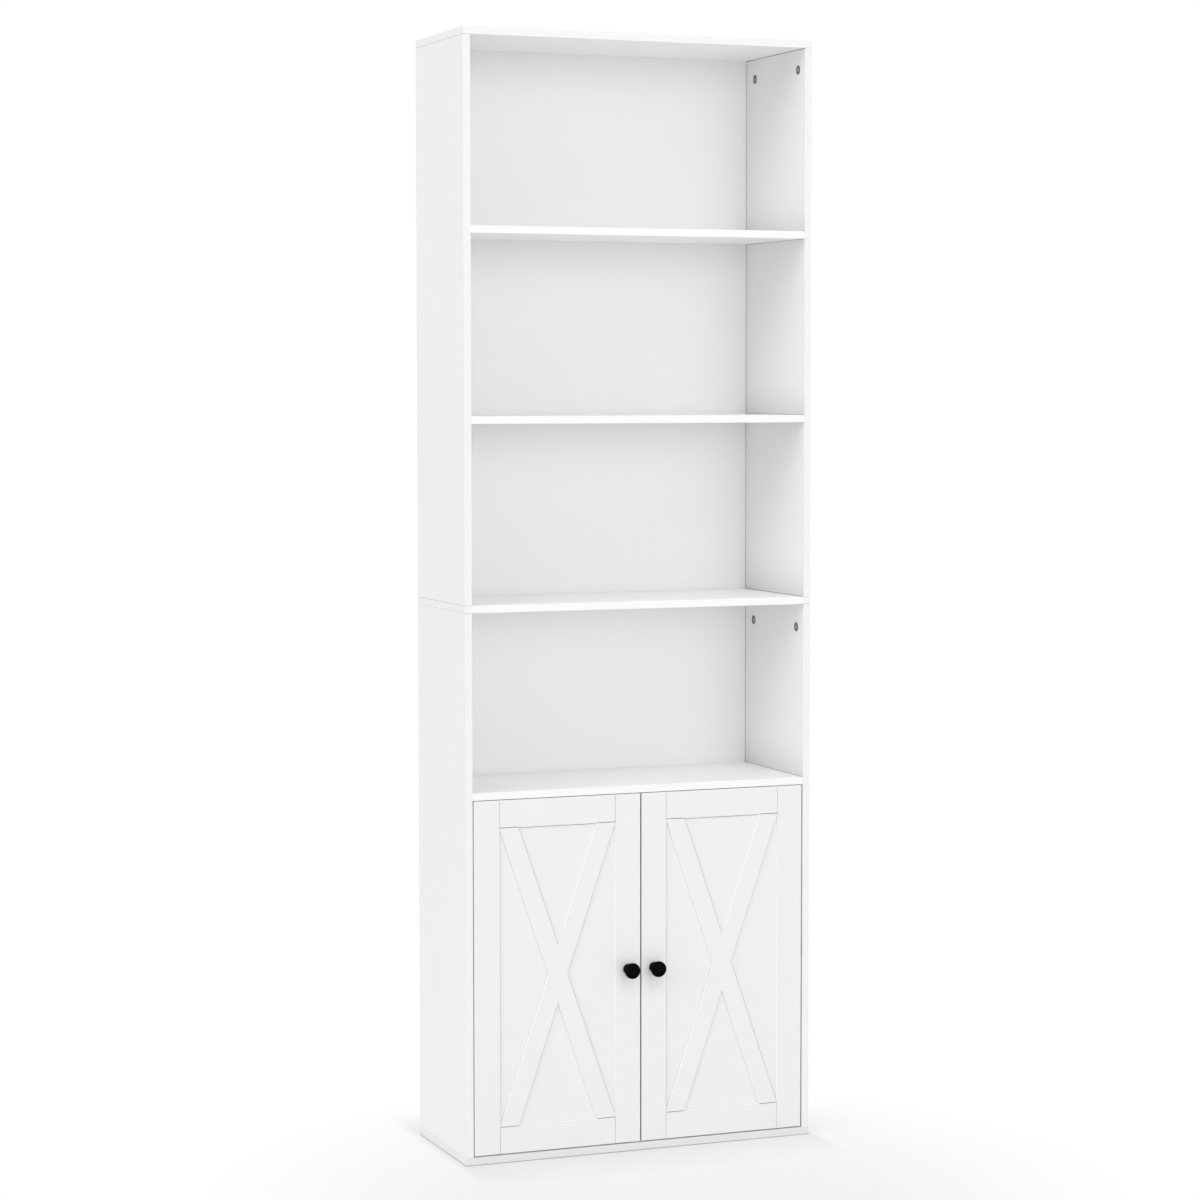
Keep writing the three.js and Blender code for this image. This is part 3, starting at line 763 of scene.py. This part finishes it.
def hairline(inner, outer, start, end, level):
    """A thin ragged strip between two boards, from the front to the back."""
    sections = []
    for step in range(LINE_STEPS + 1):
        y = start + (end - start) * step / LINE_STEPS
        waver = LINE_WAVER * math.sin(step * LINE_QUICK_TURN) * math.sin(step * LINE_SLOW_TURN)
        low, high = level - (LINE_HEIGHT + waver) / 2, level + (LINE_HEIGHT + waver) / 2
        sections.append([(inner, y, low), (outer, y, low), (outer, y, high), (inner, y, high)])
    return solid_mesh("joint_line", sections)


LINE_LEVELS = {
    "top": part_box("top_panel")[0].z,
    "middle_above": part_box("middle_panel")[1].z,
    "middle_below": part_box("middle_panel")[0].z,
    "bottom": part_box("bottom_panel")[1].z,
}
for side, sign in SIDES.items():
    low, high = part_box(f"upper_side_{side}")
    xs = sorted((low.x, high.x), key=abs)
    inner, outer = xs[0] + sign * LINE_INSET, xs[1] - sign * LINE_INSET
    for level_name, level in LINE_LEVELS.items():
        line = hairline(inner, outer, low.y + LINE_INSET, high.y, level)
        place_piece(f"joint_line_{level_name}_{side}", line, core_and_shade, "carcass")


# Painted shade in the corners of the open tiers: dark strips along the back panel, and under and over
# each board
TIERS = [
    ("upper_shelf_high", "top_panel"),
    ("upper_shelf_low", "upper_shelf_high"),
    ("middle_panel", "upper_shelf_low"),
    ("cabinet_top", "middle_panel"),
]
LOOSE_JOINTS = ("top_panel", "middle_panel")
CORNER_PROUD = 0.03 * MM
CORNER_THICKNESS = 0.1 * MM
BACK_CORNER_SHADE = 0.65 * MM
LOOSE_JOINT_SHADE = 0.85 * MM
TIGHT_JOINT_SHADE = 0.6 * MM
CORNER_SHADE_FRONT = 0.6 * MM
BLOCK_FACES = (
    (0, 1, 3, 2), (4, 6, 7, 5), (0, 4, 5, 1), (2, 3, 7, 6), (0, 2, 6, 4), (1, 5, 7, 3),
)


def block(made, low, high):
    """A closed box between two corners, added to the mesh being made."""
    xs, ys, zs = zip(low, high)
    corners = [made.verts.new((x, y, z)) for x in xs for y in ys for z in zs]
    for face in BLOCK_FACES:
        made.faces.new([corners[i] for i in face])


def corner_shade_strips(inner, sign):
    """Thin dark strips of painted shade round one end of the four open tiers."""
    made = bmesh.new()
    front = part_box("middle_panel")[0].y + CORNER_SHADE_FRONT
    wall_face = inner - sign * CORNER_PROUD
    wall_back = wall_face + sign * CORNER_THICKNESS
    sheet_face = BACK_FACE - CORNER_PROUD
    for floor_name, ceiling_name in TIERS:
        floor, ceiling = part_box(floor_name)[1].z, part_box(ceiling_name)[0].z
        block(made, (inner - sign * BACK_CORNER_SHADE, sheet_face, floor),
              (inner, sheet_face + CORNER_THICKNESS, ceiling))
        for board_name, level, up in ((floor_name, floor, 1), (ceiling_name, ceiling, -1)):
            height = LOOSE_JOINT_SHADE if board_name in LOOSE_JOINTS else TIGHT_JOINT_SHADE
            block(made, (wall_face, front, level), (wall_back, BACK_FACE, level + up * height))
    return mesh_of("painted_corner_shade", made)


for side, sign in SIDES.items():
    corner_mesh = corner_shade_strips(sign * INNER_WIDTH / 2, sign)
    place_piece(f"painted_corner_shade_{side}", corner_mesh, corner_shade, "carcass")


# Painted contact shadow: a dark line where the bottom panel meets the floor
BASE_LINE_TOP = 0.32 * MM
BASE_LINE_LOW = 0.02 * MM
BASE_LINE_DEEP = 3.0 * MM


def base_contact_shadow():
    """A thin dark frame of painted contact shadow, lying in the bottom panel's softened lower edge."""
    base_low, base_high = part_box("bottom_panel")
    section = (
        (LINE_INSET, BASE_LINE_LOW), (LINE_INSET, BASE_LINE_TOP),
        (BASE_LINE_DEEP, BASE_LINE_TOP), (BASE_LINE_DEEP, BASE_LINE_LOW),
    )
    made = bmesh.new()
    rings = []
    for inset, z in section:
        x, start, end = base_high.x - inset, base_low.y + inset, base_high.y - inset
        corners = ((-x, start, z), (x, start, z), (x, end, z), (-x, end, z))
        rings.append([made.verts.new(corner) for corner in corners])
    for i, ring in enumerate(rings):
        join_rings(made, ring, rings[(i + 1) % len(rings)])
    return mesh_of("base_contact_shadow", made)


place_piece("base_contact_shadow", base_contact_shadow(), core_and_shade, "carcass")


# Back panel with its fold and tape
BACK_RECESS = 0.4 * MM
BACK_EDGE = 0.2 * MM
FOLD_HALF = 0.5 * MM
FOLD_DEPTH = 0.3 * MM
TAPE_HALF = 19.0 * MM
TAPE_THICKNESS = 0.12 * MM
TAPE_STEPS = 90
TAPE_WAVER = 0.25 * MM
TAPE_TURN = 1.3
back_low, back_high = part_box("back_panel")
rear_face = back_high.y - BACK_RECESS
middle_low, middle_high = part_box("middle_panel")
fold = (middle_low.z + middle_high.z) / 2


def back_sheet():
    section = [
        (back_low.y, back_low.z), (rear_face, back_low.z), (rear_face, fold - FOLD_HALF),
        (rear_face - FOLD_DEPTH, fold), (rear_face, fold + FOLD_HALF), (rear_face, back_high.z),
        (back_low.y, back_high.z),
    ]
    xs = (back_low.x, back_high.x)
    return solid_mesh("back_sheet", [[(x, y, z) for y, z in section] for x in xs])


def fold_tape():
    """A strip of tape over the fold, pressed a little into it, with slightly uneven edges."""
    under, top = rear_face - TAPE_THICKNESS, rear_face + TAPE_THICKNESS
    pressed = top - TAPE_THICKNESS / 2
    sections = []
    for step in range(TAPE_STEPS + 1):
        x = back_low.x + (back_high.x - back_low.x) * step / TAPE_STEPS
        edge = TAPE_HALF + TAPE_WAVER * math.sin(step * TAPE_TURN)
        section = [
            (under, -edge), (top, -edge), (top, -2 * FOLD_HALF), (pressed, 0),
            (top, 2 * FOLD_HALF), (top, edge), (under, edge),
        ]
        sections.append([(x, y, fold + z) for y, z in section])
    return solid_mesh("fold_tape", sections)


sheet = place_piece("back_sheet", back_sheet(), backing, "carcass",
                    replaces=["back_panel"])
soft_sheet = sheet.modifiers.new("soft", "BEVEL")
soft_sheet.width = BACK_EDGE
soft_sheet.segments = EDGE_SEGMENTS
place_piece("fold_tape", fold_tape(), tape, "carcass")


# Nail heads along the sides, the ends and each board behind the back panel
NAIL_PROFILE_MM = [
    (0, -1.2), (0.8, -1.2), (0.8, -0.05), (2.6, -0.05), (2.75, 0.08), (2.3, 0.26), (1.2, 0.36),
    (0, 0.38),
]
NAIL_SIDES = 18
NAIL_PITCH = 145.0 * MM
NAIL_FROM_END = 40.0 * MM
NAIL_FROM_FOLD = 30.0 * MM
NAIL_ROW_HALF = 210.0 * MM
NAILED_BOARDS = ("top_panel", "upper_shelf_high", "upper_shelf_low", "cabinet_top", "bottom_panel")
nails = bmesh.new()


def drive_nail(x, z):
    nail = mesh_of("nail", lathe(NAIL_PROFILE_MM, NAIL_SIDES), smooth=True)
    nail.transform(Matrix.Translation((x, rear_face, z)) @ FACING_BACK)
    nails.from_mesh(nail)
    bpy.data.meshes.remove(nail)


def nail_row(start, end):
    """Even places between two ends, one at each end."""
    count = max(1, round(abs(end - start) / NAIL_PITCH))
    return [start + (end - start) * i / count for i in range(count + 1)]


for sign in SIDES.values():
    lower_row = nail_row(back_low.z + NAIL_FROM_END, fold - NAIL_FROM_FOLD)
    upper_row = nail_row(fold + NAIL_FROM_FOLD, back_high.z - NAIL_FROM_END)
    for z in lower_row + upper_row:
        drive_nail(sign * SIDE_MIDDLE, z)
for board_name in NAILED_BOARDS:
    board_low, board_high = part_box(board_name)
    for x in nail_row(-NAIL_ROW_HALF, NAIL_ROW_HALF):
        drive_nail(x, (board_low.z + board_high.z) / 2)
nail_mesh = mesh_of("back_nails", nails, smooth=True)
place_piece("back_nails", nail_mesh, zinc, "carcass")


# Hinge screws: pan heads with a crossed recess, on the cups' wings and on the plates
SCREW_SIDES = 32
SCREW_HEAD_MM = [(0, -0.9), (1.9, -0.9), (1.9, 0), (3.5, 0), (3.6, 0.35), (3.3, 1.1), (2.6, 1.6)]
SCREW_TOP = 1.85 * MM
SCREW_CAP_RADIUS = 2.1 * MM
CROSS_REACH = 1.75 * MM
CROSS_HALF = 0.42 * MM
CROSS_DEPTH = 1.1 * MM
CROSS_TAPER = 0.45
WING_SCREW_ACROSS = 13.5 * MM
WING_SCREW_BACK = 8.5 * MM
WING_SCREW_REACH = 24.0 * MM
PLATE_SCREW_ACROSS = 15.0 * MM
PLATE_SCREW_BACK = 43.0 * MM
PLATE_SCREW_REACH = 16.0 * MM


def crossed_screw():
    """A turned head whose flat cap holds a cross-shaped recess with tapering walls."""
    made = lathe(SCREW_HEAD_MM, SCREW_SIDES)
    made.verts.ensure_lookup_table()
    shoulder = made.verts[-SCREW_SIDES:]
    rim = [made.verts.new(point) for point in circle(SCREW_CAP_RADIUS, SCREW_TOP, SCREW_SIDES)]
    join_rings(made, shoulder, rim)
    a, b = CROSS_HALF, CROSS_REACH
    plus = [
        (b, -a), (b, a), (a, a), (a, b), (-a, b), (-a, a),
        (-b, a), (-b, -a), (-a, -a), (-a, -b), (a, -b), (a, -a),
    ]
    mouth = [made.verts.new((x, y, SCREW_TOP)) for x, y in plus]
    bottom = SCREW_TOP - CROSS_DEPTH
    floor = [made.verts.new((x * CROSS_TAPER, y * CROSS_TAPER, bottom)) for x, y in plus]
    edges = []
    for ring in (rim, mouth):
        for i in range(len(ring)):
            pair = (ring[i], ring[(i + 1) % len(ring)])
            edges.append(made.edges.get(pair) or made.edges.new(pair))
    bmesh.ops.triangle_fill(made, edges=edges, use_beauty=True)
    join_rings(made, mouth, floor)
    made.faces.new(floor)
    return made


screw_mesh = mesh_of("pan_screw", crossed_screw())
for side, sign in SIDES.items():
    pivot = pivots[f"{side}_door_hinge"]
    wing_x, wing_y = pivot.x - sign * WING_SCREW_ACROSS, pivot.y + WING_SCREW_BACK
    plate_x, plate_y = pivot.x + sign * PLATE_SCREW_ACROSS, pivot.y + PLATE_SCREW_BACK
    facing_inwards = Matrix.Rotation(-sign * math.pi / 2, 4, "Y")
    for level in LEVELS:
        cup_low, cup_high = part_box(f"hinge_cup_{side}_{level}")
        centre = (cup_low.z + cup_high.z) / 2
        for number, up in (("1", -1), ("2", 1)):
            wing = Matrix.Translation((wing_x, wing_y, centre + up * WING_SCREW_REACH))
            place_piece(f"cup_screw_{side}_{level}_{number}", screw_mesh, nickel,
                        f"{side}_door_leaf", wing @ FACING_BACK)
            plate = Matrix.Translation((plate_x, plate_y, centre + up * PLATE_SCREW_REACH))
            place_piece(f"plate_screw_{side}_{level}_{number}", screw_mesh, nickel,
                        "carcass", plate @ facing_inwards)


# Stage
def seen(tree):
    """1 for the rays that show a background: camera, glossy and transmission."""
    rays = add(tree, "ShaderNodeLightPath").outputs
    direct = number_math(tree, "MAXIMUM", rays["Is Camera Ray"], rays["Is Glossy Ray"])
    return number_math(tree, "MAXIMUM", direct, rays["Is Transmission Ray"])


def outside_base(tree, points):
    """How far a point of the floor lies outside the bottom panel, along each axis."""
    base_low, base_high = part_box("bottom_panel")
    middle = (base_low + base_high) / 2
    reach = (base_high - base_low) / 2
    offset = vector_math(tree, "SUBTRACT", points, (middle.x, middle.y, 0))
    offset = vector_math(tree, "ABSOLUTE", offset)
    offset = vector_math(tree, "SUBTRACT", offset, (reach.x, reach.y, 0))
    return vector_math(tree, "MAXIMUM", offset, (0, 0, 0))


def floor_material():
    """White, fading into the background, with a shade close round the bottom panel."""
    material, tree = blank("floor_white")
    points = add(tree, "ShaderNodeTexCoord").outputs["Object"]
    distance = vector_math(tree, "DISTANCE", points, FADE_CENTRE, result="Value")
    fade = spread(tree, distance, 0.0, 1.0, FADE_START, FADE_END, interpolation_type="SMOOTHSTEP")
    offset = outside_base(tree, points)
    clear = vector_math(tree, "LENGTH", offset, result="Value")
    open_floor = spread(tree, clear, 0.0, 1.0, 0.0, CONTACT_REACH)
    widened = vector_math(tree, "MULTIPLY", offset, (NEAR_SIDEWAYS, 1, 1))
    away = vector_math(tree, "LENGTH", widened, result="Value")
    far_floor = spread(tree, away, 0.0, 1.0, 0.0, NEAR_REACH)
    colours = []
    for white in (FLOOR_WHITE, 1.0):
        near = blend_colours(tree, far_floor, grey(white * NEAR_SHADE), grey(white))
        colours.append(blend_colours(tree, open_floor, grey(CONTACT_SHADE), near))
    matt = add(tree, "ShaderNodeBsdfDiffuse", {"Color": colours[0]})
    glow = add(tree, "ShaderNodeEmission", {"Strength": 1.0, "Color": colours[1]})
    mixed = add(tree, "ShaderNodeMixShader", {
        0: number_math(tree, "MULTIPLY", fade, seen(tree)), 1: matt.outputs[0], 2: glow.outputs[0],
    })
    add(tree, "ShaderNodeOutputMaterial", {"Surface": mixed.outputs[0]})
    return material


def make_floor():
    made = bmesh.new()
    bmesh.ops.create_circle(made, cap_ends=True, radius=FLOOR_RADIUS, segments=FLOOR_SIDES)
    mesh = mesh_of("floor", made, smooth=True)
    mesh.materials.append(floor_material())
    floor = bpy.data.objects.new("floor", mesh)
    floor.location.z = -FLOOR_DROP
    bpy.context.scene.collection.objects.link(floor)
    floor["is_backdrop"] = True


def make_world():
    """White where it is seen, and an even light of the world's strength everywhere else."""
    world = bpy.data.worlds.new("studio")
    bpy.context.scene.world = world
    world.use_nodes = True
    tree = world.node_tree
    tree.nodes.clear()
    level = spread(tree, seen(tree), WORLD_STRENGTH, 1.0, 0.0, 1.0)
    sky = add(tree, "ShaderNodeBackground", {"Color": grey(1.0), "Strength": level})
    add(tree, "ShaderNodeOutputWorld", {"Surface": sky.outputs[0]})


def make_lamp(name, from_deg, strength, spread_deg):
    lamp = bpy.data.lights.new(name, "SUN")
    lamp.angle = math.radians(spread_deg)
    lamp.energy = strength
    holder = bpy.data.objects.new(name, lamp)
    bearing, rise = (math.radians(angle) for angle in from_deg)
    source = Vector((
        math.sin(bearing) * math.cos(rise), -math.cos(bearing) * math.cos(rise), math.sin(rise),
    ))
    holder.location = source * LAMP_DISTANCE
    holder.rotation_mode = "QUATERNION"
    holder.rotation_quaternion = (-source).to_track_quat("-Z", "Y")
    bpy.context.scene.collection.objects.link(holder)


def make_camera():
    angles = (CAMERA_YAW_DEG, CAMERA_PITCH_DEG, CAMERA_ROLL_DEG)
    yaw, pitch, roll = (math.radians(angle) for angle in angles)
    ahead = Vector((math.sin(yaw), math.cos(yaw), 0))
    right = Vector((math.cos(yaw), -math.sin(yaw), 0))
    forward = ahead * math.cos(pitch) - Vector((0, 0, math.sin(pitch)))
    up = ahead * math.sin(pitch) + Vector((0, 0, math.cos(pitch)))
    across = right * math.cos(roll) + up * math.sin(roll)
    upward = up * math.cos(roll) - right * math.sin(roll)
    data = bpy.data.cameras.new("camera")
    data.sensor_width = SENSOR_MM
    data.lens = FOCAL_PIXELS * SENSOR_MM / FRAME_PIXELS
    camera = bpy.data.objects.new("camera", data)
    turn = Matrix((across, upward, -forward)).transposed()
    camera.matrix_world = Matrix.Translation(CAMERA_PLACE) @ turn.to_4x4()
    bpy.context.scene.collection.objects.link(camera)
    bpy.context.scene.camera = camera


make_floor()
make_world()
for lamp_name, lamp_settings in LAMPS.items():
    make_lamp(lamp_name, *lamp_settings)
make_camera()
bpy.context.scene.view_settings.view_transform = "Standard"
bpy.context.scene.cycles.diffuse_bounces = DIFFUSE_BOUNCES

low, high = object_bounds()
